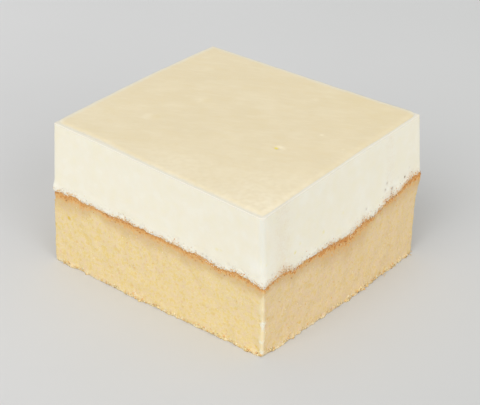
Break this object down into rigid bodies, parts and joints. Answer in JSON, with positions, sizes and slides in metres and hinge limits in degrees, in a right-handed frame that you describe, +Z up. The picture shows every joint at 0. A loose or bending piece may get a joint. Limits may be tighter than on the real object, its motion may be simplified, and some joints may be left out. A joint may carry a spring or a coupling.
{
  "type": "tres leches cake portion",
  "caption": "Square-cut portion of tres leches cake: a yellow sponge with a browned top, a thick layer of set milk cream and a thin pale glaze.",
  "frame": {"origin": "middle of the cake's foot, on the surface it stands on", "axes": "+X along the longer cut side, from the picture's left corner to its near corner, +Y away from the front, +Z up through the layers"},
  "size_m": [0.0697, 0.0661, 0.0397],
  "materials": {
    "sponge": "matte",
    "cream": "satin",
    "glaze": "satin"
  },
  "bodies": {
    "root": {"sponge": "sponge", "cream": "cream", "glaze": "glaze"}
  },
  "joints": []
}
